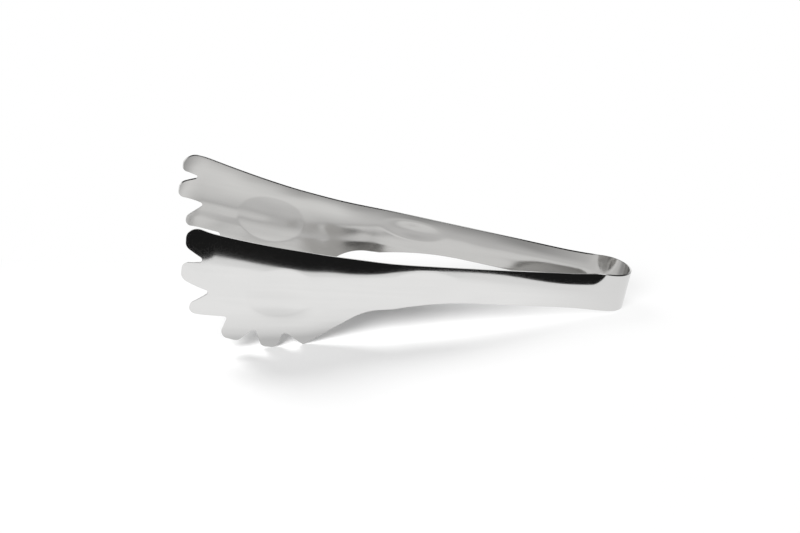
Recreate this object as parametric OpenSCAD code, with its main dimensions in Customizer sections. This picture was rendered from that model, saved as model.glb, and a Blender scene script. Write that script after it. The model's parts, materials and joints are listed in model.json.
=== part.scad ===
// Serving tongs bent from one strip of sheet steel, lying on edge the way they rest on a table.
// Each arm is drawn first in its own flat sheet: s runs from the bow to the teeth, z across the
// strip, and q is how far the sheet is pressed inward, towards the other arm.
// The finished tongs are then tipped until the bow and the lowest tooth both touch the table.

/* [Overall] */
// Length of one arm from the end of the bow to the end of the longest tooth
arm_length = 216.7; // [180:0.1:264]
// Angle of each arm from the middle plane while nothing squeezes the tongs
spread_angle = 11; // [8:0.5:14]
// Thickness of the sheet
sheet = 1.0; // [0.8:0.05:1.4]

/* [Bow] */
// Radius of the bow at the middle of the sheet
bow_radius = 11.5; // [9:0.5:14]
// Width of the strip through the bow, where it is flat
bow_width = 19.6; // [16:0.2:24]

/* [Handle] */
// Width of the strip along the handles, where its edges turn inward
strip_width = 18; // [15:0.5:22]
// How far the lower edge of the handle drops where it meets the head
flare_drop = 5.5; // [3:0.25:8]
// Length over which the lower edge drops
flare_length = 42; // [30:1:55]
// Length of the thumb dish
thumb_length = 36; // [28:1:44]
// Width of the thumb dish
thumb_width = 12; // [9:0.5:15]
// Depth of the thumb dish
thumb_depth = 0.7; // [0.3:0.05:1.2]

/* [Head] */
// Distance from the middle of the head dish to the end of the longest tooth
head_reach = 47.5; // [40:0.1:57]
// How far the middle of the head dish lies below the middle of the handle
head_drop = 9; // [6:0.5:12]
// Length of the head dish
dish_length = 34; // [28:1:41]
// Width of the head dish
dish_width = 24; // [20:1:29]
// Depth of the head dish
dish_depth = 0.8; // [0.4:0.1:1.5]
// Strength of the inward curl of the three end teeth, for each square millimetre past its start
tooth_curl = 0.032; // [0.02:0.001:0.04]

/* [Section] */
// Hollowness of the strip across its width along the middle of the handle
handle_hollow = 0.0375; // [0.02:0.0005:0.045]
// Share of that hollowness that the lower side of the handle has
lower_share = 0.4; // [0.2:0.05:1]
// Extra hollowness of the handle just past the bow
bow_end_hollow = 0.032; // [0:0.0005:0.04]
// Hollowness of the head across its width
head_hollow = 0.008; // [0.004:0.0005:0.012]
// Extra hollowness of the upper side round the neck
neck_hollow = 0.0135; // [0:0.0005:0.018]
// Extra hollowness of the upper side all along the head
edge_hollow = 0.008; // [0:0.0005:0.012]

/* [Hidden] */
$fn = 96;

// The head is drawn once at this reach and scaled from it.
drawn_reach = 47.5;
head_scale = head_reach / drawn_reach;

// Middle of the head dish, and the line where the handle ends and the head begins.
neck_back = 57 * head_scale;
dish_s = arm_length - head_reach;
dish_z = -head_drop;
neck_s = dish_s - neck_back;
half_strip = strip_width / 2;
half_bow = bow_width / 2;

// The two end corners of each tooth and their rounding, measured from the middle of the dish.
// The sixth tooth is one sharp corner.
teeth = [
    [[47.4, 29.0, 5.5], [47.0, 18.4, 2.8]],
    [[47.5, 11.1, 3.5], [47.3, 3.3, 3.5]],
    [[41.8, -7.6, 3.0], [41.8, -12.6, 3.0]],
    [[25.1, -24.6, 4.5], [15.6, -27.0, 3.2]],
    [[3.3, -29.5, 3.2], [-4.6, -30.1, 2.8]],
    [[-17.0, -27.7, 0.8]]
];
// The foot of each gap between two teeth, and the corner where the head narrows to the handle.
gaps = [[37.6, 14.2, 1.2], [33.9, -0.3, 1.2], [23.1, -13.3, 1.8], [8.9, -19.2, 1.6], [-5.2, -20.2, 1.6]];
throat = [-43.4, -6.8, 25];

// Lengths next to the bow over which the strip takes its hollow and narrows to its handle width.
hollow_start = 12;
narrow_end = 24;
// Place and spread of the extra hollow past the bow and, from the neck, of the one at the neck.
bow_hump = [22, 26];
neck_hump = [36 * head_scale, 40 * head_scale];
// Stretch from the neck over which the hollow of the handle becomes that of the head.
hollow_change = [5 * head_scale, 40 * head_scale];
// The upper side takes its extra hollow between these heights above the crown line.
upper_side = [-10, 2];
// How far the crown line drops in the head, and the stretch from the neck over which it does.
crown_drop = 6.8 * head_scale;
crown_change = [-10 * head_scale, 50 * head_scale];
// Distance from the crown line at which the handle's hollow moves the sheet neither in nor out.
crown_level = 6.4;
// Distance from the end of the longest tooth at which the end teeth start to curl.
curl_back = 13.2 * head_scale;
// Middle of the thumb dish: its distance before the neck and its height.
thumb_back = 14;
thumb_z = 1;

// Steps of the drawn surface.
across = 10;
along = 34;
upper_steps = 14;
corner_steps = 5;
gap_steps = 3;
dish_rings = [1 / 3, 2 / 3, 1];
outer_rings = [0.14, 0.3, 0.46, 0.6, 0.72, 0.82, 0.91, 1];
slope_step = 0.05;

// Smooth rise from 0 to 1 between two places.
function rise(span, x) =
    let (t = min(1, max(0, (x - span[0]) / (span[1] - span[0]))))
    t * t * (3 - 2 * t);

// Rounded hump of height 1 with a place and a spread.
function hump(at, x) = exp(-pow((x - at[0]) / at[1], 2));

// Square of how far a value is past nothing, and nothing before it.
function past(x) = pow(max(0, x), 2);

// Squared distance from the middle of an oval, 1 on its edge.
function oval(ds, dz, length, width) = pow(2 * ds / length, 2) + pow(2 * dz / width, 2);

// Upper and lower edges of the handle.
function upper_edge(s) = half_bow + (half_strip - half_bow) * rise([0, narrow_end], s);
function lower_edge(s) = -upper_edge(s) - flare_drop * past((s - neck_s + flare_length) / flare_length);

// Share of the head's shape that a place of the arm has taken on.
function headward(s) = rise(hollow_change, s - neck_s);

// Curvature of the strip across its width: of both sides alike, of the handle's grip, and of the
// upper side alone. The grip is flatter on its lower side.
function both_sides(s) =
    rise([0, hollow_start], s) * (head_hollow * headward(s) + bow_end_hollow * hump(bow_hump, s));
function grip(s) = rise([0, hollow_start], s) * handle_hollow * (1 - headward(s));
function upper_extra(s) = edge_hollow * headward(s) + neck_hollow * hump(neck_hump, s - neck_s);
function curvature(s, above) =
    let (upper = rise(upper_side, above))
    both_sides(s) + grip(s) * (lower_share + (1 - lower_share) * upper) + upper_extra(s) * upper;

// How far the sheet is pressed inward at one place of the arm.
function inward(s, z) =
    let (above = z + crown_drop * rise(crown_change, s - neck_s))
    curvature(s, above) * pow(above, 2) / 2
    - (both_sides(s) + grip(s)) * (1 - headward(s)) * pow(crown_level, 2) / 2
    + tooth_curl * past(s - arm_length + curl_back)
    + thumb_depth * past(1 - oval(s - neck_s + thumb_back, z - thumb_z, thumb_length, thumb_width))
    + dish_depth * max(0, 1 - oval(s - dish_s, z - dish_z, dish_length, dish_width));

// A point of the sheet, moved off its middle by a distance along the outward normal.
function sheet_point(s, z, lift) =
    let (slope_s = (inward(s + slope_step, z) - inward(s - slope_step, z)) / (2 * slope_step))
    let (slope_z = (inward(s, z + slope_step) - inward(s, z - slope_step)) / (2 * slope_step))
    let (n = lift / sqrt(1 + slope_s * slope_s + slope_z * slope_z))
    let (sn = s + n * slope_s)
    let (qn = inward(s, z) - n)
    [
        (bow_radius - qn) * sin(spread_angle) - sn * cos(spread_angle),
        (qn - bow_radius) * cos(spread_angle) - sn * sin(spread_angle),
        z + n * slope_z
    ];

// Points of the arc that rounds the corner b between a and c.
function rounded(a, b, c, radius, steps) =
    let (u = (a - b) / norm(a - b))
    let (v = (c - b) / norm(c - b))
    let (half = acos(max(-1, min(1, u * v))) / 2)
    let (middle = b + (u + v) / norm(u + v) * radius / sin(half))
    let (start = b + u * radius / tan(half) - middle)
    let (turn = sign(u[0] * v[1] - u[1] * v[0]) * (180 - 2 * half))
    [for (i = [0:steps])
        let (t = -turn * i / steps)
        middle + [start[0] * cos(t) - start[1] * sin(t), start[0] * sin(t) + start[1] * cos(t)]];

// Corners of the toothed edge in order, from the upper corner of the first tooth to the throat.
function placed(p) = [dish_s + p[0] * head_scale, dish_z + p[1] * head_scale, p[2] * head_scale];
corner_list = [
    for (i = [0:len(teeth) - 1])
        each concat(
            [for (p = teeth[i]) concat(placed(p), corner_steps)],
            i < len(gaps) ? [concat(placed(gaps[i]), gap_steps)] : [concat(placed(throat), corner_steps)]
        )
];
function flat(p) = [p[0], p[1]];

// Upper edge of the head: it leaves the handle level and sweeps up to the first tooth.
first = corner_list[0];
upper_end = first[0] - first[2];
function sweep(s) = half_strip + (first[1] - half_strip) * past((s - neck_s) / (first[0] - neck_s));
upper_line = [
    for (i = [0:upper_steps - 1])
        let (s = neck_s + (upper_end - neck_s) * i / upper_steps)
        [s, sweep(s)]
];
neck_low = [neck_s, lower_edge(neck_s)];
neck_line = [
    for (i = [0:across - 1])
        [neck_s, neck_low[1] + (half_strip - neck_low[1]) * i / across]
];

// The whole edge of the head: up the neck, along the top, round the teeth and back to the neck.
last = len(corner_list) - 1;
edge = concat(
    neck_line,
    upper_line,
    [
        for (i = [0:last])
            each rounded(
                i == 0 ? [upper_end, sweep(upper_end)] : flat(corner_list[i - 1]),
                flat(corner_list[i]),
                i == last ? neck_low : flat(corner_list[i + 1]),
                corner_list[i][2],
                corner_list[i][3]
            )
    ]
);

// Where the line from the middle of the dish to a point of the edge crosses the rim of the dish.
function dish_rim(p) =
    let (d = p - [dish_s, dish_z])
    [dish_s, dish_z] + d / sqrt(oval(d[0], d[1], dish_length, dish_width));

// Rings of points from the dish to the edge of the head.
rings = concat(
    [for (f = dish_rings) [for (p = edge) [dish_s, dish_z] + f * (dish_rim(p) - [dish_s, dish_z])]],
    [for (g = outer_rings) [for (p = edge) dish_rim(p) + g * (p - dish_rim(p))]]
);

// Angle that brings the bow and the lowest tooth to the table together, the lift that goes with it,
// and the shift that puts the origin on the table under the middle of the tongs.
outer_radius = bow_radius + sheet / 2;
rim_points = [for (p = edge, lift = [-sheet / 2, sheet / 2]) sheet_point(p[0], p[1], lift)];
rest_angle = atan(max([for (p = rim_points) (-p[2] - half_bow) / (outer_radius - p[0])]));
rest_lift = half_bow * cos(rest_angle) + outer_radius * sin(rest_angle);
bow_end = outer_radius * cos(rest_angle) + half_bow * sin(rest_angle);
tooth_end = min([for (p = rim_points) p[0] * cos(rest_angle) + p[2] * sin(rest_angle)]);
rest_shift = -(bow_end + tooth_end) / 2;

// Two triangles of one square of a grid.
function square_faces(a, b, c, d) = [[a, b, c], [a, c, d]];

// Sheet over rings of points that close round on themselves, with one point in the middle.
module dished_sheet() {
    n = len(edge);
    m = len(rings);
    side = m * n + 1;
    points = [
        for (lift = [sheet / 2, -sheet / 2])
            each concat(
                [sheet_point(dish_s, dish_z, lift)],
                [for (ring = rings) each [for (p = ring) sheet_point(p[0], p[1], lift)]]
            )
    ];
    middle_faces = [for (j = [0:n - 1]) [0, 1 + j, 1 + (j + 1) % n]];
    ring_faces = [
        for (k = [0:m - 2])
            for (j = [0:n - 1])
                let (a = 1 + k * n)
                each square_faces(a + j, a + n + j, a + n + (j + 1) % n, a + (j + 1) % n)
    ];
    front_faces = concat(middle_faces, ring_faces);
    back_faces = [for (f = front_faces) [f[0] + side, f[2] + side, f[1] + side]];
    rim_faces = [
        for (j = [0:n - 1])
            let (a = 1 + (m - 1) * n)
            each square_faces(a + j, a + j + side, a + (j + 1) % n + side, a + (j + 1) % n)
    ];
    polyhedron(points, concat(front_faces, back_faces, rim_faces), convexity = 8);
}

// Sheet over a plain grid along the handle.
module handle_sheet() {
    row = across + 1;
    side = row * (along + 1);
    points = [
        for (lift = [sheet / 2, -sheet / 2])
            for (i = [0:along])
                let (s = neck_s * i / along)
                for (j = [0:across])
                    sheet_point(s, lower_edge(s) + (upper_edge(s) - lower_edge(s)) * j / across, lift)
    ];
    front_faces = [
        for (i = [0:along - 1])
            for (j = [0:across - 1])
                let (a = i * row + j)
                each square_faces(a, a + row, a + row + 1, a + 1)
    ];
    back_faces = [for (f = front_faces) [f[0] + side, f[2] + side, f[1] + side]];
    around = concat(
        [for (j = [0:across]) j],
        [for (i = [1:along]) i * row + across],
        [for (j = [1:across]) along * row + across - j],
        [for (i = [1:along - 1]) (along - i) * row]
    );
    rim_faces = [
        for (i = [0:len(around) - 1])
            let (a = around[i])
            let (b = around[(i + 1) % len(around)])
            each square_faces(b, b + side, a + side, a)
    ];
    polyhedron(points, concat(front_faces, back_faces, rim_faces), convexity = 8);
}

// Tips what is drawn until it rests on the table.
module at_rest() {
    translate([rest_shift, 0, rest_lift]) rotate([0, rest_angle, 0]) children();
}

// The bend that joins the two arms and springs them apart.
module spring_bow() {
    wrap = 180 - 2 * spread_angle;
    color([0.78, 0.79, 0.80])
        at_rest()
        rotate([0, 0, -wrap / 2])
        rotate_extrude(angle = wrap)
        translate([bow_radius - sheet / 2, -half_bow])
        square([sheet, bow_width]);
}

module front_handle() {
    color([0.82, 0.83, 0.84]) at_rest() handle_sheet();
}

module front_head() {
    color([0.86, 0.87, 0.88]) at_rest() dished_sheet();
}

module back_handle() {
    color([0.70, 0.71, 0.72]) at_rest() mirror([0, 1, 0]) handle_sheet();
}

module back_head() {
    color([0.74, 0.75, 0.76]) at_rest() mirror([0, 1, 0]) dished_sheet();
}

spring_bow();
front_handle();
front_head();
back_handle();
back_head();
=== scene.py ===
"""Looks of a pair of serving tongs, bent from one strip of polished steel and lying on edge.

The sheet of each arm is a formula: s runs along the arm from the bow to the teeth, z across the strip,
and the press q says how far the sheet is pushed inward, towards the other arm. Every piece is that sheet
with its thickness and rounded cut edges, worked out as whole arrays. Sizes are in millimetres in the
arm's own flat coordinates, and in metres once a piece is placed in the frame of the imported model.
"""

from __future__ import annotations

import json
import logging
import math
from dataclasses import dataclass, field
from enum import Enum

import bpy
import numpy as np
from mathutils import Matrix, Vector

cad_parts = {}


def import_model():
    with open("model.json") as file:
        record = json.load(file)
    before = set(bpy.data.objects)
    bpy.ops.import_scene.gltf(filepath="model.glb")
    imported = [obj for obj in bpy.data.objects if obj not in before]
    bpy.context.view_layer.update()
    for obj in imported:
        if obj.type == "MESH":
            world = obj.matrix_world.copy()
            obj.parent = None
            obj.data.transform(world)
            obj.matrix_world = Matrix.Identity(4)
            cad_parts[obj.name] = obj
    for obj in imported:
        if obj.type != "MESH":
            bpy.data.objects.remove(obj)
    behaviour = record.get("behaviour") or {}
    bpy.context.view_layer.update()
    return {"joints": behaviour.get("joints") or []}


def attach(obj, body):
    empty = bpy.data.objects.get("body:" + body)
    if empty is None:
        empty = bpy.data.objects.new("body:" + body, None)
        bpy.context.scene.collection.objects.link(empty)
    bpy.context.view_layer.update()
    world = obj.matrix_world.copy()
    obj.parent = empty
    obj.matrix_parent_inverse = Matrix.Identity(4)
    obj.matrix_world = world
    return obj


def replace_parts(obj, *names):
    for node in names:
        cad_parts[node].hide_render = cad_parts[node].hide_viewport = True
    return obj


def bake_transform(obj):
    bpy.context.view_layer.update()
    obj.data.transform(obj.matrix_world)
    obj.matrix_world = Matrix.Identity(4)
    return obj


LOG = logging.getLogger("serving_tongs")
MM = 0.001
MICROMETRE = 1e-6
UV_NAME = "strip"
UV_UNIT = 100.0
EDGE_MASK = "cut_edge"
INSIDE_MASK = "inside_face"
Array = np.ndarray
Pair = tuple[float, float]
Triple = tuple[float, float, float]
Socket = bpy.types.NodeSocket
Value = Socket | float | tuple[float, ...]


class ArmSide(Enum):
    """The two arms: the front one as the formula draws it, the back one as its mirror image."""

    FRONT = "front"
    BACK = "back"

    @property
    def mirror(self) -> float:
        """Factor on Y that turns the drawn arm into this one."""
        return 1.0 if self is ArmSide.FRONT else -1.0

    @property
    def body(self) -> str:
        """Name of the moving body that this arm belongs to."""
        return f"{self.value}_arm"


def rise(start: float, end: float, x: Array) -> Array:
    """Smooth step: 3t^2 - 2t^3 of the share t of the way from start to end.

    Args:
        start: Place where the step begins.
        end: Place where it is complete.
        x: Places to evaluate.

    Returns:
        Values from 0 to 1, as many as there are places.
    """
    t = np.clip((x - start) / (end - start), 0.0, 1.0)
    return t * t * (3.0 - 2.0 * t)


def hump(middle: float, spread: float, x: Array) -> Array:
    """Bell curve of height 1: the exponential of minus the squared distance in spreads."""
    return np.exp(-(((x - middle) / spread) ** 2))


def past(x: Array) -> Array:
    """Square of the positive part, so a bend that starts gently at 0."""
    return np.maximum(0.0, x) ** 2


def oval(ds: Array, dz: Array, length: float, width: float) -> Array:
    """Squared distance from the middle of an oval, 1 on its rim."""
    return (2.0 * ds / length) ** 2 + (2.0 * dz / width) ** 2


def soft_positive(x: Array, width: float) -> Array:
    """Positive part with a rounded corner: half the sum of x and the root of x^2 + width^2."""
    return 0.5 * (x + np.sqrt(x * x + width * width))


@dataclass(frozen=True)
class StripForm:
    """The pressed strip of one arm, in millimetres, with the bow's axis as the origin of its own frame."""

    arm_length: float = 216.7
    spread_angle: float = 11.0
    sheet: float = 0.99
    bow_radius: float = 11.5
    bow_width: float = 19.6
    strip_width: float = 18.0
    narrow_end: float = 24.0
    flare_drop: float = 5.5
    flare_length: float = 42.0
    neck_s: float = 112.2
    hollow_start: float = 12.0
    hollow_change: Pair = (5.0, 40.0)
    handle_hollow: float = 0.0375
    lower_share: float = 0.4
    bow_end_hollow: float = 0.032
    bow_hump: Pair = (22.0, 26.0)
    head_hollow: float = 0.008
    neck_hollow: float = 0.0135
    neck_hump: Pair = (36.0, 40.0)
    edge_hollow: float = 0.008
    upper_side: Pair = (-10.0, 2.0)
    crown_drop: float = 6.8
    crown_change: Pair = (-10.0, 50.0)
    crown_level: float = 6.4
    tooth_curl: float = 0.032
    curl_back: float = 13.2
    thumb_length: float = 36.0
    thumb_width: float = 12.0
    thumb_depth: float = 0.7
    thumb_back: float = 14.0
    thumb_z: float = 1.0
    dish_s: float = 169.2
    dish_z: float = -9.0
    dish_length: float = 34.0
    dish_width: float = 24.0
    dish_depth: float = 0.8
    dish_rim: float = 0.07
    edge_radius: float = 0.12
    edge_bevel: float = 16.0
    slope_step: float = 0.05
    tiny: float = 1e-9

    @property
    def half_sheet(self) -> float:
        """Distance from the middle of the sheet to each face."""
        return 0.5 * self.sheet

    def upper_edge(self, s: Array) -> Array:
        """Upper edge of the handle: the bow's width narrowing smoothly to the strip's width."""
        half_bow, half_strip = 0.5 * self.bow_width, 0.5 * self.strip_width
        return half_bow + (half_strip - half_bow) * rise(0.0, self.narrow_end, s)

    def lower_edge(self, s: Array) -> Array:
        """Lower edge of the handle: the upper one mirrored, with a parabola that drops towards the head."""
        flare = past((s - self.neck_s + self.flare_length) / self.flare_length)
        return -self.upper_edge(s) - self.flare_drop * flare

    def inward(self, s: Array, z: Array) -> Array:
        """Press of the sheet: hollow parabola with its crown pushed out, curled teeth and two oval dishes.

        The parabola's curvature is the sum of three: one that both sides have, in the head and in a bell
        past the bow, the grip's, which is less on the lower side, and an extra on the upper side of the
        neck and the head.

        Args:
            s: Places along the arm.
            z: Heights across the strip.

        Returns:
            Distance towards the other arm, in millimetres.
        """
        past_neck = s - self.neck_s
        above = z + self.crown_drop * rise(*self.crown_change, past_neck)
        headward = rise(*self.hollow_change, past_neck)
        upper = rise(*self.upper_side, above)
        start = rise(0.0, self.hollow_start, s)
        both = start * (self.head_hollow * headward + self.bow_end_hollow * hump(*self.bow_hump, s))
        grip = start * self.handle_hollow * (1.0 - headward)
        extra = self.edge_hollow * headward + self.neck_hollow * hump(*self.neck_hump, past_neck)
        curvature = both + grip * (self.lower_share + (1.0 - self.lower_share) * upper) + extra * upper
        thumb = oval(past_neck + self.thumb_back, z - self.thumb_z, self.thumb_length, self.thumb_width)
        dish = oval(s - self.dish_s, z - self.dish_z, self.dish_length, self.dish_width)
        return (
            0.5 * curvature * above**2
            - 0.5 * (both + grip) * (1.0 - headward) * self.crown_level**2
            + self.tooth_curl * past(s - self.arm_length + self.curl_back)
            + self.thumb_depth * past(1.0 - thumb)
            + self.dish_depth * soft_positive(1.0 - dish, self.dish_rim)
        )

    def slopes(self, s: Array, z: Array) -> tuple[Array, Array]:
        """Slopes of the press, by central differences over one small step each way.

        Args:
            s: Places along the arm.
            z: Heights across the strip.

        Returns:
            The slope along the strip and the slope across it.
        """
        h = self.slope_step
        along = (self.inward(s + h, z) - self.inward(s - h, z)) / (2.0 * h)
        across = (self.inward(s, z + h) - self.inward(s, z - h)) / (2.0 * h)
        return along, across

    def turned(self, ds: Array, dz: Array, dq: Array) -> Array:
        """Turn steps on the strip about the bow's axis by the angle at which the arm leaves the bow.

        Args:
            ds: Steps along the strip.
            dz: Steps across it.
            dq: Steps inward.

        Returns:
            The same steps as directions in the arm's own frame.
        """
        a = math.radians(self.spread_angle)
        x = -dq * math.sin(a) - ds * math.cos(a)
        y = dq * math.cos(a) - ds * math.sin(a)
        return np.stack([x, y, dz], axis=-1)

    def surface(self, s: Array, z: Array, out: Array, face: Array, lift: Array) -> tuple[Array, Array]:
        """Points and normals of the sheet's skin.

        A skin point is the sheet's middle at (s, z) plus lift along the outward normal. On the round of a
        cut edge the normal leans from the sheet's own normal towards the direction out of the edge.

        Args:
            s: Places along the arm.
            z: Heights across the strip.
            out: Share of the normal along and across the strip, out of the cut edge. Its last axis holds
                the pair, and both are zero on the two faces.
            face: Share of the normal along the sheet's own normal, 1 on the outer face and -1 inside.
            lift: Distances from the middle of the sheet, positive on the outer side.

        Returns:
            Points and unit normals in the arm's own frame.
        """
        along, across = self.slopes(s, z)
        unit = 1.0 / np.sqrt(1.0 + along**2 + across**2)
        normal = self.turned(along * unit, across * unit, -unit)
        a = math.radians(self.spread_angle)
        q = self.inward(s, z) - self.bow_radius
        middle = np.stack([-q * math.sin(a) - s * math.cos(a), q * math.cos(a) - s * math.sin(a), z], axis=-1)
        side = self.turned(out[..., 0], out[..., 1], along * out[..., 0] + across * out[..., 1])
        leaning = side + face[..., None] * normal
        leaning /= np.maximum(np.linalg.norm(leaning, axis=-1, keepdims=True), self.tiny)
        return middle + lift[..., None] * normal, leaning

    def edge_profile(self, steps: int, upward: Array) -> tuple[Array, Array, Array, Array]:
        """Cut edge from the outer to the inner face: a round, a flat and a round.

        The flat of an edge that looks up is bevelled towards the outer face. Both rounds touch it, so the
        middle of the outer one lies back by the distance between the middles times the bevel's tangent.

        Args:
            steps: Steps over each round.
            upward: For each place along the edge, how much of the bevel it gets, from 0 to 1.

        Returns:
            Four arrays with a row for each point of the profile and a column for each place: reach out of
            the edge line, lift, and the shares of the normal out of the edge and along the sheet's normal.
        """
        bevel = math.radians(self.edge_bevel) * np.asarray(upward, dtype=float)
        t = np.linspace(0.0, 1.0, steps + 1)[:, None]
        outer = 0.5 * np.pi + (bevel - 0.5 * np.pi) * t
        inner = bevel - (bevel + 0.5 * np.pi) * t
        r, flat = self.edge_radius, self.half_sheet - self.edge_radius
        turn = np.concatenate([outer, inner])
        first = np.arange(2 * (steps + 1))[:, None] <= steps
        reach = r * np.cos(turn) - np.where(first, 2.0 * flat * np.tan(bevel), 0.0)
        return reach, np.where(first, flat, -flat) + r * np.sin(turn), np.cos(turn), np.sin(turn)


@dataclass(frozen=True)
class Placing:
    """Where the tongs lie in the frame: the bow's axis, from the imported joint, and its tilt."""

    origin: Triple
    tilt: float

    @classmethod
    def from_joint(cls, joint: dict) -> Placing:
        """Read the bow's axis from the joint that turns about it.

        Args:
            joint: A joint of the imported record.

        Returns:
            The placing that puts the arm's own frame on that axis.
        """
        x, _, z = joint["axis"]
        return cls(tuple(joint["pos_m"]), math.atan2(abs(x), abs(z)))

    def turn(self, own: Array, mirror: float) -> Array:
        """Tip directions about Y by the tilt.

        Args:
            own: Directions in the arm's own frame.
            mirror: 1 for the arm as drawn, -1 for its mirror image.

        Returns:
            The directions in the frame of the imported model.
        """
        c, s = math.cos(self.tilt), math.sin(self.tilt)
        x, y, z = own[..., 0], own[..., 1] * mirror, own[..., 2]
        return np.stack([x * c + z * s, y, z * c - x * s], axis=-1)

    def place(self, own: Array, mirror: float) -> Array:
        """Points of the arm's own frame, in millimetres, as points of the frame in metres."""
        return self.turn(own, mirror) * MM + np.asarray(self.origin)


@dataclass
class Skin:
    """Arrays of one closed skin before it becomes a mesh.

    Each point has its place and normal in the arm's own frame, its strip coordinates, and its share of the
    cut edge and of the inside face. Caps are the flat ends, each with the direction that it faces.
    """

    points: Array
    normals: Array
    strip: Array
    edge: Array
    inside: Array
    faces: list[Array] = field(default_factory=list)
    caps: list[tuple[Array, Array]] = field(default_factory=list)

    def to_object(self, name: str, placing: Placing, mirror: float) -> bpy.types.Object:
        """Put the skin into a mesh with its own normals, strip coordinates and two masks.

        Args:
            name: Name of the piece.
            placing: Where the arm's own frame lies.
            mirror: 1 for the arm as drawn, -1 for its mirror image, whose faces turn round.

        Returns:
            The new object, at the origin, with its place in its mesh.
        """
        groups = [(f, None) for f in self.faces] + list(self.caps)
        order = slice(None, None, 1 if mirror > 0 else -1)
        polygons = [face for faces, _ in groups for face in faces[:, order].tolist()]
        mesh = bpy.data.meshes.new(name)
        mesh.from_pydata(placing.place(self.points, mirror).tolist(), [], polygons)
        corner = np.concatenate([faces[:, order].ravel() for faces, _ in groups])
        normals = placing.turn(self.normals, mirror)[corner]
        start = sum(faces.size for faces in self.faces)
        for faces, direction in self.caps:
            normals[start : start + faces.size] = placing.turn(direction, mirror)
            start += faces.size
        layer = mesh.uv_layers.new(name=UV_NAME)
        layer.data.foreach_set("uv", (self.strip[corner] / UV_UNIT).astype(np.float32).ravel())
        for label, values in ((EDGE_MASK, self.edge), (INSIDE_MASK, self.inside)):
            mask = mesh.attributes.new(label, "FLOAT", "POINT")
            mask.data.foreach_set("value", values.astype(np.float32))
        mesh.shade_smooth()
        mesh.normals_split_custom_set(normals.tolist())
        piece = bpy.data.objects.new(name, mesh)
        bpy.context.scene.collection.objects.link(piece)
        return piece


def grid_faces(rows: int, columns: int, first: int = 0) -> Array:
    """Quads of a grid whose columns close round, row after row.

    Args:
        rows: Number of rows of points.
        columns: Number of points in a row.
        first: Index of the first point.

    Returns:
        Array of quads, four point indices each.
    """
    r, c = np.meshgrid(np.arange(rows - 1), np.arange(columns), indexing="ij")
    here, there = first + r * columns, first + (r + 1) * columns
    beside = (c + 1) % columns
    return np.stack([here + c, there + c, there + beside, here + beside], axis=-1).reshape(-1, 4)


def ladder_faces(columns: int, first: int, flip: bool) -> Array:
    """Faces across one end of a flattened tube: rungs between its outer and its inner half.

    Args:
        columns: Even number of points round the tube, first its outer half, then its inner half.
        first: Index of the end's first point.
        flip: Turn the faces round.

    Returns:
        The rungs' quads.
    """
    i = np.arange(columns // 2 - 1)
    rungs = np.stack([i, i + 1, columns - i - 2, columns - i - 1], axis=-1) + first
    return rungs[:, ::-1] if flip else rungs


@dataclass(frozen=True)
class StripSection:
    """Way round the strip's section: outer face upwards, upper edge, inner face downwards, lower edge.

    Each point has its share of the way across, its reach beyond that, the shares of its normal out of the
    edge and along the sheet's normal, and its lift.
    """

    share: Array
    reach: Array
    out: Array
    face: Array
    lift: Array

    @classmethod
    def of(cls, form: StripForm, across: int, steps: int) -> StripSection:
        """Lay out the section: its outer half upwards, then its inner half downwards.

        Args:
            form: The strip, for its thickness and its edges.
            across: Steps across a face.
            steps: Steps over a quarter round of an edge.

        Returns:
            The section, with a reach and a normal that point down on the lower edge.
        """
        reach, lift, out, face = form.edge_profile(steps, np.array([0.0, 1.0]))
        share = np.linspace(0.0, 1.0, across + 1)[1:-1]
        none, end = np.zeros_like(share), np.zeros(steps + 1)
        n = steps + 1

        def round_trip(values: Array, sign: float, outside: float, inside: float) -> Array:
            """Lay one value out round the section, from the lower edge and back to it.

            Args:
                values: The value on the profiles of the lower and the upper edge.
                sign: Factor for the lower edge.
                outside: The value on the outer face.
                inside: The value on the inner face.

            Returns:
                The value at each point of the section.
            """
            low, high = sign * values[:, 0], values[:, 1]
            outer = np.concatenate([low[:n][::-1], none + outside, high[:n]])
            return np.concatenate([outer, high[n:], none + inside, low[n:][::-1]])

        outer_share = np.concatenate([end, share, end + 1.0])
        return cls(
            np.concatenate([outer_share, outer_share[::-1]]),
            round_trip(reach, -1.0, 0.0, 0.0),
            round_trip(out, -1.0, 0.0, 0.0),
            round_trip(face, 1.0, 1.0, -1.0),
            round_trip(lift, 1.0, form.half_sheet, -form.half_sheet),
        )


@dataclass
class StripPiece:
    """One length of the strip, on one arm."""

    form: StripForm
    side: ArmSide
    across: int = 44
    round_steps: int = 4

    def dress(self, piece: bpy.types.Object, finish: bpy.types.Material, slot: str) -> None:
        """Give the piece its finish."""
        piece.data.materials.append(finish)


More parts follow.
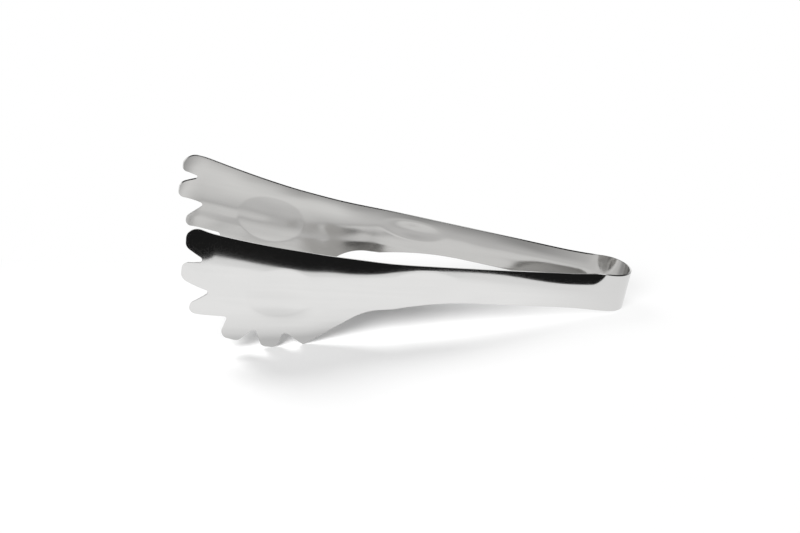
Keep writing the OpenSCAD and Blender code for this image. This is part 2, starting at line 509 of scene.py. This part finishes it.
@dataclass
class HandleStrip(StripPiece):
    """The handle of one arm, from the end of the bow to the neck."""

    along: int = 170

    def skin(self) -> Skin:
        """Carry the strip's section along s; the section's height follows the two edges of the handle.

        Returns:
            The closed skin, with a flat end at the bow and one at the neck.
        """
        form, r = self.form, self.form.edge_radius
        section = StripSection.of(form, self.across, self.round_steps)
        s = np.linspace(0.0, form.neck_s, self.along + 1)[:, None] + np.zeros_like(section.share)
        low, high = form.lower_edge(s) + r, form.upper_edge(s) - r
        z = low + (high - low) * section.share + section.reach
        none = np.zeros_like(z)
        out = np.stack([none, section.out + none], axis=-1)
        points, normals = form.surface(s, z, out, section.face + none, section.lift + none)
        columns = section.share.size
        to_bow = form.turned(np.array(-1.0), np.array(0.0), np.array(0.0))
        last = self.along * columns
        caps = [(ladder_faces(columns, 0, True), to_bow), (ladder_faces(columns, last, False), -to_bow)]
        return Skin(
            points.reshape(-1, 3),
            normals.reshape(-1, 3),
            np.stack([s, z], axis=-1).reshape(-1, 2),
            np.tile(np.abs(section.out), self.along + 1),
            np.tile(np.maximum(0.0, -section.face), self.along + 1),
            [grid_faces(self.along + 1, columns)[:, ::-1]],
            caps,
        )

    def build(self, placing: Placing) -> bpy.types.Object:
        """Make the piece and let it stand for its node.

        Args:
            placing: Where the tongs lie in the frame.

        Returns:
            The new piece.
        """
        piece = self.skin().to_object(f"{self.side.value}_handle_strip", placing, self.side.mirror)
        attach(piece, self.side.body)
        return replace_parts(piece, f"{self.side.value}_handle")


@dataclass
class ToothedHead(StripPiece):
    """The head of one arm: a scoop with an oval dish and six teeth, drawn on rings round the dish.

    The corners are measured from the middle of the dish: distance towards the teeth, height, radius.
    """

    teeth: tuple[tuple[Triple, ...], ...] = (
        ((47.4, 29.0, 5.5), (47.0, 18.4, 2.8)),
        ((47.5, 11.1, 3.5), (47.3, 3.3, 3.5)),
        ((41.8, -7.6, 3.0), (41.8, -12.6, 3.0)),
        ((25.1, -24.6, 4.5), (15.6, -27.0, 3.2)),
        ((3.3, -29.5, 3.2), (-4.6, -30.1, 2.8)),
        ((-17.0, -27.7, 0.8),),
    )
    gaps: tuple[Triple, ...] = (
        (37.6, 14.2, 1.2),
        (33.9, -0.3, 1.2),
        (23.1, -13.3, 1.8),
        (8.9, -19.2, 1.6),
        (-5.2, -20.2, 1.6),
    )
    throat: Triple = (-43.4, -6.8, 25.0)
    outline_step: float = 0.42
    arc_steps: int = 40
    upper_steps: int = 200
    dish_rings: int = 16
    outer_rings: int = 34
    ring_growth: float = 0.45
    looks_up: Pair = (0.3, 0.8)
    above_teeth: Pair = (6.0, 8.8)

    def corners(self) -> Array:
        """List the corners of the toothed edge in order, from the first tooth to the throat.

        Returns:
            For each corner its place on the arm and its radius.
        """
        feet = self.gaps + (self.throat,)
        listed = [corner for tooth, foot in zip(self.teeth, feet) for corner in (*tooth, foot)]
        return np.array(listed) + np.array([self.form.dish_s, self.form.dish_z, 0.0])

    def rounded(self, before: Array, corner: Array, after: Array) -> Array:
        """Arc that rounds a corner: it touches both sides, and its middle lies on their bisector.

        Args:
            before: Point on the side that leads to the corner.
            corner: The corner's place and radius.
            after: Point on the side that leaves it.

        Returns:
            Points of the arc, in order.
        """
        u = (before - corner[:2]) / np.linalg.norm(before - corner[:2])
        v = (after - corner[:2]) / np.linalg.norm(after - corner[:2])
        half = 0.5 * math.acos(float(np.clip(u @ v, -1.0, 1.0)))
        middle = corner[:2] + (u + v) / np.linalg.norm(u + v) * corner[2] / math.sin(half)
        start = corner[:2] + u * corner[2] / math.tan(half) - middle
        turn = math.copysign(math.pi - 2.0 * half, u[0] * v[1] - u[1] * v[0])
        t = -turn * np.linspace(0.0, 1.0, self.arc_steps + 1)
        x = start[0] * np.cos(t) - start[1] * np.sin(t)
        y = start[0] * np.sin(t) + start[1] * np.cos(t)
        return middle + np.stack([x, y], axis=-1)

    def edge_line(self) -> tuple[Array, Array]:
        """Edge of the head from the neck over the top and round the teeth, moved in by the edge's radius.

        The top sweeps up as a parabola to the first tooth. The line is then divided into even steps, and
        the direction out of the edge is its tangent turned by a right angle.

        Returns:
            The points and the directions out of the edge.
        """
        form = self.form
        corners = self.corners()
        top, first = 0.5 * form.strip_width, corners[0]
        s = np.linspace(form.neck_s, first[0] - first[2], self.upper_steps)
        sweep = past((s - form.neck_s) / (first[0] - form.neck_s))
        upper = np.stack([s, top + (first[1] - top) * sweep], axis=-1)
        neck_low = np.array([[form.neck_s, float(form.lower_edge(np.array(form.neck_s)))]])
        stops = np.concatenate([upper[-1:], corners[:, :2], neck_low])
        arcs = [self.rounded(stops[i], corner, stops[i + 2]) for i, corner in enumerate(corners)]
        upper = upper[upper[:, 0] < arcs[0][0, 0]]
        line = np.concatenate([upper, *arcs, neck_low])
        gone = np.concatenate([[0.0], np.cumsum(np.linalg.norm(np.diff(line, axis=0), axis=1))])
        even = np.linspace(0.0, gone[-1], int(gone[-1] / self.outline_step) + 1)
        line = np.stack([np.interp(even, gone, line[:, 0]), np.interp(even, gone, line[:, 1])], axis=-1)
        tangent = np.gradient(line, axis=0)
        tangent /= np.linalg.norm(tangent, axis=1, keepdims=True)
        out = np.stack([-tangent[:, 1], tangent[:, 0]], axis=-1)
        out[0], out[-1] = (0.0, 1.0), (0.0, -1.0)
        return line - form.edge_radius * out, out

    def ringed(self, reach: Array) -> Array:
        """Rings about the middle of the dish: out to its oval rim, closer near it, and on to the edge.

        Out to the rim a ring's share is the sine of an even turn, and beyond it a parabola of even steps.

        Args:
            reach: Places of the last ring, from the middle of the dish.

        Returns:
            The places of all the rings, ring after ring.
        """
        form = self.form
        rim = reach / np.sqrt(oval(reach[:, 0], reach[:, 1], form.dish_length, form.dish_width))[:, None]
        inside = np.sin(np.linspace(0.0, 0.5 * np.pi, self.dish_rings + 1))[1:, None, None]
        t = np.linspace(0.0, 1.0, self.outer_rings + 1)[1:]
        outside = (self.ring_growth * t * t + (1.0 - self.ring_growth) * t)[:, None, None]
        return np.concatenate([inside * rim, rim + outside * (reach - rim)])

    def skin(self) -> Skin:
        """Carry the rings from the dish to the edge on the outer face, over the edge and back inside.

        Returns:
            The closed skin, with a flat end at the neck and a point in the middle of each face.
        """
        form = self.form
        line, out = self.edge_line()
        share = np.linspace(0.0, 1.0, self.across + 1)[1:-1]
        neck = line[-1] + share[:, None] * (line[0] - line[-1])
        edge = np.concatenate([line, neck])
        out = np.concatenate([out, np.zeros_like(neck)])
        middle = np.array([form.dish_s, form.dish_z])
        upward = rise(*self.looks_up, out[:, 1]) * rise(*self.above_teeth, edge[:, 1])
        beyond, height, lean, face = form.edge_profile(self.round_steps, upward)
        outer = middle + self.ringed(edge + beyond[0][:, None] * out - middle)
        inner = middle + self.ringed(edge + beyond[-1][:, None] * out - middle)
        place = np.concatenate([outer, edge + beyond[1:-1, :, None] * out, inner[::-1]])
        flat, one = np.zeros_like(outer), np.ones(outer.shape[:2])
        away = np.concatenate([flat, lean[1:-1, :, None] * out, flat])
        facing = np.concatenate([one, face[1:-1], -one])
        lift = np.concatenate([one * form.half_sheet, height[1:-1], -one * form.half_sheet])
        points, normals = form.surface(place[..., 0], place[..., 1], away, facing, lift)
        poles = [
            form.surface(middle[:1], middle[1:], np.zeros((1, 2)), side, side * form.half_sheet)
            for side in (np.array([1.0]), np.array([-1.0]))
        ]
        rows, columns = lift.shape
        quads = grid_faces(rows, columns, 1)
        row, column = np.divmod(np.arange(len(quads)), columns)
        is_cap = (row >= len(outer) - 1) & (row < rows - len(inner)) & (column >= len(line) - 1)
        ring = np.arange(columns)
        after = (ring + 1) % columns
        last = 1 + (rows - 1) * columns
        fans = [
            np.stack([np.zeros_like(ring), 1 + ring, 1 + after], axis=-1),
            np.stack([np.full_like(ring, last + columns), last + after, last + ring], axis=-1),
        ]
        to_bow = form.turned(np.array(-1.0), np.array(0.0), np.array(0.0))
        return Skin(
            np.concatenate([poles[0][0], points.reshape(-1, 3), poles[1][0]]),
            np.concatenate([poles[0][1], normals.reshape(-1, 3), poles[1][1]]),
            np.concatenate([middle[None], place.reshape(-1, 2), middle[None]]),
            np.concatenate([[0.0], np.linalg.norm(away, axis=-1).ravel(), [0.0]]),
            np.concatenate([[0.0], np.maximum(0.0, -facing).ravel(), [1.0]]),
            [quads[~is_cap], *fans],
            [(quads[is_cap], to_bow)],
        )

    def build(self, placing: Placing) -> bpy.types.Object:
        """Make the piece and let it stand for its node.

        Args:
            placing: Where the tongs lie in the frame.

        Returns:
            The new piece.
        """
        piece = self.skin().to_object(f"{self.side.value}_head_scoop", placing, self.side.mirror)
        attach(piece, self.side.body)
        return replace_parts(piece, f"{self.side.value}_head")


@dataclass
class BowHalf(StripPiece):
    """Half of the bow, from its middle to one arm."""

    along: int = 64

    @property
    def end(self) -> float:
        """Turn about the bow's axis from the middle of the bow to the arm."""
        return math.radians(90.0 - self.form.spread_angle)

    def skin(self) -> Skin:
        """Carry the strip's section round the bow's axis: radius plus lift, at an even turn.

        Returns:
            The closed skin of the half that ends at the front arm.
        """
        form, end = self.form, self.end
        section = StripSection.of(form, self.across, self.round_steps)
        angle = np.linspace(end, 0.0, self.along + 1)[:, None]
        half = 0.5 * form.bow_width - form.edge_radius
        z = half * (2.0 * section.share - 1.0) + section.reach + np.zeros_like(angle)
        radius, facing, out = form.bow_radius + section.lift, section.face, section.out + np.zeros_like(z)
        points = np.stack([radius * np.cos(angle), -radius * np.sin(angle), z], axis=-1)
        normals = np.stack([facing * np.cos(angle), -facing * np.sin(angle), out], axis=-1)
        s = (angle - end) * form.bow_radius + np.zeros_like(z)
        columns = section.share.size
        last = self.along * columns
        to_arm = np.array([-math.sin(end), -math.cos(end), 0.0])
        to_middle = np.array([0.0, 1.0, 0.0])
        caps = [(ladder_faces(columns, last, True), to_middle), (ladder_faces(columns, 0, False), to_arm)]
        return Skin(
            points.reshape(-1, 3),
            normals.reshape(-1, 3),
            np.stack([s, z], axis=-1).reshape(-1, 2),
            np.tile(np.abs(section.out), self.along + 1),
            np.tile(np.maximum(0.0, -section.face), self.along + 1),
            [grid_faces(self.along + 1, columns)],
            caps,
        )

    def build(self, placing: Placing) -> bpy.types.Object:
        """Make the piece and let it stand for the bow's node.

        Args:
            placing: Where the tongs lie in the frame.

        Returns:
            The new piece.
        """
        form, mirror = self.form, self.side.mirror
        piece = self.skin().to_object(f"bow_{self.side.value}_half", placing, mirror)
        turns = np.array([0.0, self.end])
        path = np.stack([np.cos(turns), -np.sin(turns), np.zeros(2)], axis=-1) * form.bow_radius
        start, stop = placing.place(path, mirror)
        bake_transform(piece)
        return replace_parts(piece, "spring_bow")


class Ramp(Enum):
    """How a value runs between the two ends of a span."""

    STRAIGHT = "LINEAR"
    SMOOTH = "SMOOTHSTEP"


@dataclass(frozen=True)
class Wiring:
    """Short ways to add nodes to one shader tree; a value is another node's output or a constant."""

    tree: bpy.types.NodeTree

    def node(self, kind: str, **options: object) -> bpy.types.Node:
        """Add a shader node.

        Args:
            kind: The node's type, without the prefix that all of them have.
            options: The node's own options.

        Returns:
            The new node.
        """
        made = self.tree.nodes.new(f"ShaderNode{kind}")
        for name, value in options.items():
            setattr(made, name, value)
        return made

    def feed(self, socket: Socket, value: Value) -> None:
        """Link a value into an input, or set the input to a constant.

        Args:
            socket: The input.
            value: What it gets.
        """
        if isinstance(value, Socket):
            self.tree.links.new(value, socket)
        else:
            socket.default_value = value

    def filled(self, node: bpy.types.Node, output: str, *values: Value) -> Socket:
        """Feed a node's inputs in order.

        Args:
            node: The node.
            output: Name of the output that is wanted.
            values: What its inputs get.

        Returns:
            That output.
        """
        for socket, value in zip(node.inputs, values):
            self.feed(socket, value)
        return node.outputs[output]

    def maths(self, operation: str, *values: Socket | float) -> Socket:
        """One step of arithmetic on values."""
        return self.filled(self.node("Math", operation=operation), "Value", *values)

    def vectors(self, operation: str, output: str, *values: Socket | tuple[float, ...]) -> Socket:
        """One step of arithmetic on vectors."""
        return self.filled(self.node("VectorMath", operation=operation), output, *values)

    def layered(self, share: Socket, under: Socket, over: Socket) -> Socket:
        """One shader over another, by a share."""
        return self.filled(self.node("MixShader"), "Shader", share, under, over)

    def ranged(
        self, value: Socket, to: Pair, span: Pair = (0.0, 1.0), ramp: Ramp = Ramp.STRAIGHT
    ) -> Socket:
        """Carry a value from a span to other numbers, held at both ends.

        Args:
            value: The value.
            to: Numbers at the start and the end of the span.
            span: Start and end of the span.
            ramp: The way between them.

        Returns:
            The new value.
        """
        made = self.node("MapRange", interpolation_type=ramp.value)
        for name, number in zip(("From Min", "From Max", "To Min", "To Max"), (*span, *to)):
            made.inputs[name].default_value = number
        self.feed(made.inputs["Value"], value)
        return made.outputs["Result"]

    def mixed(self, share: Socket, first: Value, second: Value, **options: str) -> Socket:
        """Mix two numbers, or two colours.

        Args:
            share: Share of the second one.
            first: The first one.
            second: The second one.
            options: Options of the node, such as the kind of data.

        Returns:
            The mixture.
        """
        made = self.node("Mix", **options)
        for name, value in (("Factor", share), ("A", first), ("B", second)):
            self.feed(made.inputs[name], value)
        return made.outputs["Result"]

    def graded(self, value: Socket, stops: tuple[Pair, ...]) -> Socket:
        """Grey levels at stops along a value, straight between them.

        Args:
            value: The value.
            stops: Pairs of a value and its level, in order.

        Returns:
            The grey as a colour.
        """
        first, last = stops[0][0], stops[-1][0]
        made = self.node("ValToRGB")
        share = self.maths("DIVIDE", self.maths("SUBTRACT", value, first), last - first)
        self.feed(made.inputs["Fac"], share)
        for at, _ in stops[1:-1]:
            made.color_ramp.elements.new((at - first) / (last - first))
        for stop, (_, level) in zip(made.color_ramp.elements, stops):
            stop.color = grey(level)
        return made.outputs["Color"]


def grey(level: float) -> tuple[float, float, float, float]:
    """Opaque grey colour of a level."""
    return (level, level, level, 1.0)


@dataclass(frozen=True)
class PolishingLines:
    """Marks of the polishing wheel and waves of the sheet, as noise stretched along the strip.

    Each noise is given by its cells for each 100 mm along and across the strip and by its detail. The
    heights are in micrometres.
    """

    name: str = "polishing_lines"
    fine: Triple = (9.0, 420.0, 3.0)
    streaks: Triple = (2.5, 60.0, 2.0)
    smudges: Triple = (6.0, 9.0, 3.0)
    slow_waves: Triple = (3.0, 2.0, 0.0)
    short_waves: Triple = (4.0, 7.0, 0.5)
    scratch_height: float = 0.25
    wave_height: float = 14.0

    def group(self) -> bpy.types.NodeTree:
        """Build the shared node group.

        Haze is the mean of streaks and smudges. Height is the sum of fine lines and streaks times the
        scratches' height, plus the slow waves times theirs. Waves are the short waves alone.

        Returns:
            The group, with strip coordinates in, and haze, height and waves out.
        """
        group = bpy.data.node_groups.new(self.name, "ShaderNodeTree")
        group.interface.new_socket("Strip", in_out="INPUT", socket_type="NodeSocketVector")
        for name in ("Haze", "Height", "Waves"):
            group.interface.new_socket(name, in_out="OUTPUT", socket_type="NodeSocketFloat")
        wire = Wiring(group)
        strip = group.nodes.new("NodeGroupInput").outputs["Strip"]
        result = group.nodes.new("NodeGroupOutput")

        def noise(cells: Triple) -> Socket:
            """Noise with so many cells along and across the strip.

            Args:
                cells: Cells along, cells across and detail.

            Returns:
                Values from 0 to 1.
            """
            *stretch, detail = cells
            made = wire.node("TexNoise", noise_dimensions="2D")
            made.inputs["Scale"].default_value = 1.0
            made.inputs["Detail"].default_value = detail
            wire.feed(made.inputs["Vector"], wire.vectors("MULTIPLY", "Vector", strip, (*stretch, 1.0)))
            return made.outputs["Fac"]

        streaks = noise(self.streaks)
        haze = wire.maths("MULTIPLY", wire.maths("ADD", streaks, noise(self.smudges)), 0.5)
        scratch = wire.maths("ADD", noise(self.fine), streaks)
        scratch = wire.maths("MULTIPLY", scratch, self.scratch_height)
        slow = wire.maths("MULTIPLY", noise(self.slow_waves), self.wave_height)
        wire.feed(result.inputs["Haze"], haze)
        wire.feed(result.inputs["Height"], wire.maths("ADD", scratch, slow))
        wire.feed(result.inputs["Waves"], noise(self.short_waves))
        return group


@dataclass(frozen=True)
class PolishedSteel:
    """Bright polished stainless steel with faint polishing lines, darker, coarser and wavier inside.

    The inside has its own share of the colour, factor on the roughness and height of its short waves.
    """

    name: str = "polished_steel"
    slot: str = "polished_steel"
    lines: PolishingLines = PolishingLines()
    bright: Triple = (0.775, 0.772, 0.765)
    dull: Triple = (0.735, 0.733, 0.727)
    inside_share: Triple = (0.750, 0.745, 0.736)
    roughness: Pair = (0.085, 0.15)
    edge_roughness: float = 0.2
    inside_roughness: float = 1.1
    inside_waves: float = 420.0

    def material(self) -> bpy.types.Material:
        """Build the node material.

        Returns:
            A material whose colour, roughness and bump follow the strip coordinates and the two masks.
        """
        made = bpy.data.materials.new(self.name)
        made.use_nodes = True
        wire = Wiring(made.node_tree)
        shader = made.node_tree.nodes["Principled BSDF"]
        shader.inputs["Metallic"].default_value = 1.0
        lines = wire.node("Group", node_tree=self.lines.group())
        wire.feed(lines.inputs["Strip"], wire.node("UVMap", uv_map=UV_NAME).outputs["UV"])
        haze = lines.outputs["Haze"]
        edge = wire.node("Attribute", attribute_name=EDGE_MASK).outputs["Fac"]
        inside = wire.node("Attribute", attribute_name=INSIDE_MASK).outputs["Fac"]
        bright, dull, share = ((*colour, 1.0) for colour in (self.bright, self.dull, self.inside_share))
        colour = wire.mixed(haze, bright, dull, data_type="RGBA")
        colour = wire.mixed(inside, colour, share, data_type="RGBA", blend_type="MULTIPLY")
        wire.feed(shader.inputs["Base Color"], colour)
        coarser = wire.ranged(inside, (1.0, self.inside_roughness))
        rough = wire.maths("MULTIPLY", wire.ranged(haze, self.roughness), coarser)
        rough = wire.mixed(edge, rough, self.edge_roughness, data_type="FLOAT")
        wire.feed(shader.inputs["Roughness"], rough)
        waves = wire.ranged(inside, (0.0, self.inside_waves))
        height = wire.maths("MULTIPLY_ADD", waves, lines.outputs["Waves"], lines.outputs["Height"])
        bump = wire.node("Bump")
        bump.inputs["Strength"].default_value = 1.0
        bump.inputs["Distance"].default_value = MICROMETRE
        wire.feed(bump.inputs["Height"], height)
        wire.feed(shader.inputs["Normal"], bump.outputs["Normal"])
        return made


@dataclass(frozen=True)
class PaintedMirroredFloor:
    """Painted light and shade: grey of the floor as the steel mirrors it, darker along and between the arms.

    The levels run across the tongs, where 0 is the line of the front arm and 1 that of the back arm. The
    line's distance from the middle is a start plus a slope times X, but at least the last number. There
    are levels for the heads and for the handles, one level past the bow, and a painted soft round shade in
    front of the front head.
    """

    arm_line: Triple = (0.031, -0.194, 0.0115)
    at_heads: tuple[Pair, ...] = (
        (-0.30, 1.0), (-0.12, 0.93), (-0.05, 0.80), (0.0, 0.60), (0.05, 0.62),
        (0.12, 0.78), (0.25, 0.84), (0.45, 0.98), (0.58, 1.06), (0.66, 1.0),
        (0.75, 0.68), (0.90, 0.36), (1.10, 0.9),
    )
    at_handles: tuple[Pair, ...] = (
        (-0.30, 1.0), (-0.04, 0.95), (0.03, 0.78), (0.30, 0.76), (0.45, 0.61),
        (0.60, 0.45), (0.80, 0.41), (1.00, 0.42), (1.10, 0.9),
    )
    past_bow: float = 0.87
    neck_change: Pair = (-0.045, 0.0)
    bow_change: Pair = (0.05, 0.115)
    shade: float = 0.82
    shade_at: Triple = (-0.052, -0.069, 0.0)
    shade_span: Pair = (0.002, 0.018)

    def painted_floor_light_and_shade(self, wire: Wiring, place: Socket, x: Socket, y: Socket) -> Socket:
        """Painted light and shade that a mirrored place on the floor sends out.

        Args:
            wire: The floor's material.
            place: Place on the floor.
            x: Its X.
            y: Its Y.

        Returns:
            The emission.
        """
        start, slope, least = self.arm_line
        line = wire.maths("MAXIMUM", wire.maths("MULTIPLY_ADD", x, slope, start), least)
        across = wire.maths("MULTIPLY_ADD", wire.maths("DIVIDE", y, line), 0.5, 0.5)
        level = wire.mixed(
            wire.ranged(x, (0.0, 1.0), self.neck_change, Ramp.SMOOTH),
            wire.graded(across, self.at_heads),
            wire.graded(across, self.at_handles),
            data_type="RGBA",
        )
        ended = wire.ranged(x, (0.0, 1.0), self.bow_change, Ramp.SMOOTH)
        level = wire.mixed(ended, level, grey(self.past_bow), data_type="RGBA")
        # Painted shade: a soft darker round spot on the floor in front of the front head.
        apart = wire.vectors("DISTANCE", "Value", place, self.shade_at)
        strength = wire.ranged(apart, (self.shade, 1.0), self.shade_span, Ramp.SMOOTH)
        return wire.filled(wire.node("Emission"), "Emission", level, strength)


@dataclass(frozen=True)
class Studio:
    """Pale floor, two soft lamps from the left, a bright backdrop behind and a dark room in front.

    Each lamp has its direction and its share of the light. The floor fades to white behind the tongs and
    near the bow, for the camera only: painted light over its shadow. The steel mirrors the backdrop and
    painted light and shade graded on the floor.
    """

    floor_colour: float = 0.9
    floor_radius: float = 9.0
    floor_corners: int = 96
    floor_light: float = 3.52
    mirrored: PaintedMirroredFloor = PaintedMirroredFloor()
    bow_painted_light_span: Pair = (-0.01, 0.095)
    bow_painted_light: float = 0.85
    behind_painted_light_span: Pair = (0.01, 0.06)
    lamp_width: float = 28.0
    lamps_from: tuple[tuple[float, float, float, float], ...] = (
        (-0.55, -0.85, 0.70, 0.68),
        (-0.58, 0.50, 0.80, 0.32),
    )
    backdrop: float = 1.0
    room: float = 0.012
    backdrop_facing: Triple = (-0.6, 0.8, 0.0)
    backdrop_side: Pair = (0.15, 0.4)
    backdrop_top: Pair = (0.35, 0.62)
    lens: float = 97.579
    sensor: float = 36.0
    farthest: float = 50.0
    position: Triple = (-0.12014, -0.95343, 0.47631)
    elevation: float = 25.297
    turn: float = 6.934
    roll: float = 2.020

    def build(self) -> None:
        """Make the floor, the lamps, the surroundings and the camera."""
        self.floor()
        self.lamps()
        self.surroundings()
        self.camera()

    def floor(self) -> None:
        """Round floor far wider than the view: a circle of points at the height of zero."""
        turn = np.linspace(0.0, 2.0 * np.pi, self.floor_corners, endpoint=False)
        rim = np.stack([np.cos(turn), np.sin(turn), np.zeros_like(turn)], axis=-1) * self.floor_radius
        mesh = bpy.data.meshes.new("table_top")
        mesh.from_pydata(rim.tolist(), [], [list(range(len(rim)))])
        mesh.materials.append(self.floor_finish())
        top = bpy.data.objects.new("table_top", mesh)
        bpy.context.scene.collection.objects.link(top)

    def floor_finish(self) -> bpy.types.Material:
        """Build the floor: matt and pale, with painted light over its shadow and painted shade for the steel.

        Returns:
            The material.
        """
        made = bpy.data.materials.new("white_table")
        made.use_nodes = True
        nodes, wire = made.node_tree.nodes, Wiring(made.node_tree)
        matt = nodes["Principled BSDF"]
        matt.inputs["Roughness"].default_value = 1.0
        matt.inputs["Specular IOR Level"].default_value = 0.0
        matt.inputs["Base Color"].default_value = grey(self.floor_colour)
        place = wire.node("TexCoord").outputs["Object"]
        split = wire.node("SeparateXYZ")
        wire.feed(split.inputs["Vector"], place)
        x, y = split.outputs["X"], split.outputs["Y"]
        path = wire.node("LightPath")
        # Painted light: near the bow and behind the tongs the camera sees an emission of strength 1 over the
        # floor's shadow.
        painted_light_near_bow = wire.ranged(x, (0.0, self.bow_painted_light), self.bow_painted_light_span, Ramp.SMOOTH)
        behind = wire.ranged(y, (0.0, 1.0), self.behind_painted_light_span, Ramp.SMOOTH)
        painted_light_share = wire.maths("MAXIMUM", painted_light_near_bow, behind)
        painted_light_share = wire.maths("MULTIPLY", painted_light_share, path.outputs["Is Camera Ray"])
        white = wire.node("Emission").outputs["Emission"]
        seen = wire.layered(painted_light_share, matt.outputs["BSDF"], white)
        # Painted light and shade on the floor, which only the steel's reflections see.
        painted_floor_light_and_shade = self.mirrored.painted_floor_light_and_shade(wire, place, x, y)
        surface = wire.layered(path.outputs["Is Glossy Ray"], seen, painted_floor_light_and_shade)
        wire.feed(nodes["Material Output"].inputs["Surface"], surface)
        return made

    def lamps(self) -> None:
        """Wide soft lamps: each comes from a direction and gives a share of the light on the floor."""
        for i, (*way, share) in enumerate(self.lamps_from):
            name = f"softbox_{i + 1}"
            data = bpy.data.lights.new(name, "SUN")
            data.energy = self.floor_light * share / Vector(way).normalized().z
            data.angle = math.radians(self.lamp_width)
            lamp = bpy.data.objects.new(name, data)
            lamp.rotation_mode = "QUATERNION"
            lamp.rotation_quaternion = Vector(way).to_track_quat("Z", "Y")
            lamp.visible_glossy = False
            bpy.context.scene.collection.objects.link(lamp)

    def surroundings(self) -> None:
        """Dark room with a bright backdrop that only the steel's reflections see.

        The backdrop is the product of two smooth steps of a direction: up with its share along the way
        that the backdrop lies, and down again with its height.
        """
        world = bpy.data.worlds.new("studio")
        world.use_nodes = True
        wire = Wiring(world.node_tree)
        way = wire.node("TexCoord").outputs["Generated"]
        split = wire.node("SeparateXYZ")
        wire.feed(split.inputs["Vector"], way)
        facing = wire.vectors("DOT_PRODUCT", "Value", way, self.backdrop_facing)
        side = wire.ranged(facing, (0.0, 1.0), self.backdrop_side, Ramp.SMOOTH)
        below = wire.ranged(split.outputs["Z"], (1.0, 0.0), self.backdrop_top, Ramp.SMOOTH)
        glossy = wire.node("LightPath").outputs["Is Glossy Ray"]
        shown = wire.maths("MULTIPLY", wire.maths("MULTIPLY", side, below), glossy)
        light = wire.ranged(shown, (self.room, self.backdrop))
        wire.feed(world.node_tree.nodes["Background"].inputs["Color"], light)
        bpy.context.scene.world = world
        bpy.context.scene.view_settings.view_transform = "Standard"

    def camera(self) -> None:
        """Camera at the photograph's angle: turned about Z, tipped down, then rolled about its own axis."""
        data = bpy.data.cameras.new("camera")
        data.lens = self.lens
        data.sensor_width = self.sensor
        data.sensor_fit = "HORIZONTAL"
        data.clip_end = self.farthest
        camera = bpy.data.objects.new("camera", data)
        turned = Matrix.Rotation(math.radians(-self.turn), 4, "Z")
        tipped = Matrix.Rotation(math.radians(90.0 - self.elevation), 4, "X")
        rolled = Matrix.Rotation(math.radians(self.roll), 4, "Z")
        camera.matrix_world = Matrix.Translation(self.position) @ turned @ tipped @ rolled
        bpy.context.scene.collection.objects.link(camera)
        bpy.context.scene.camera = camera


def main() -> None:
    """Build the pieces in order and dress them."""
    logging.basicConfig(level=logging.INFO, format="%(message)s")
    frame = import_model()
    placing = Placing.from_joint(frame["joints"][0])
    form = StripForm()
    steel = PolishedSteel()
    finish = steel.material()
    for side in ArmSide:
        for kind in (BowHalf, HandleStrip, ToothedHead):
            part = kind(form, side)
            piece = part.build(placing)
            part.dress(piece, finish, steel.slot)
            mesh = piece.data
            LOG.info("%s: %d points, %d faces", piece.name, len(mesh.vertices), len(mesh.polygons))
    Studio().build()


if __name__ == "__main__":
    main()
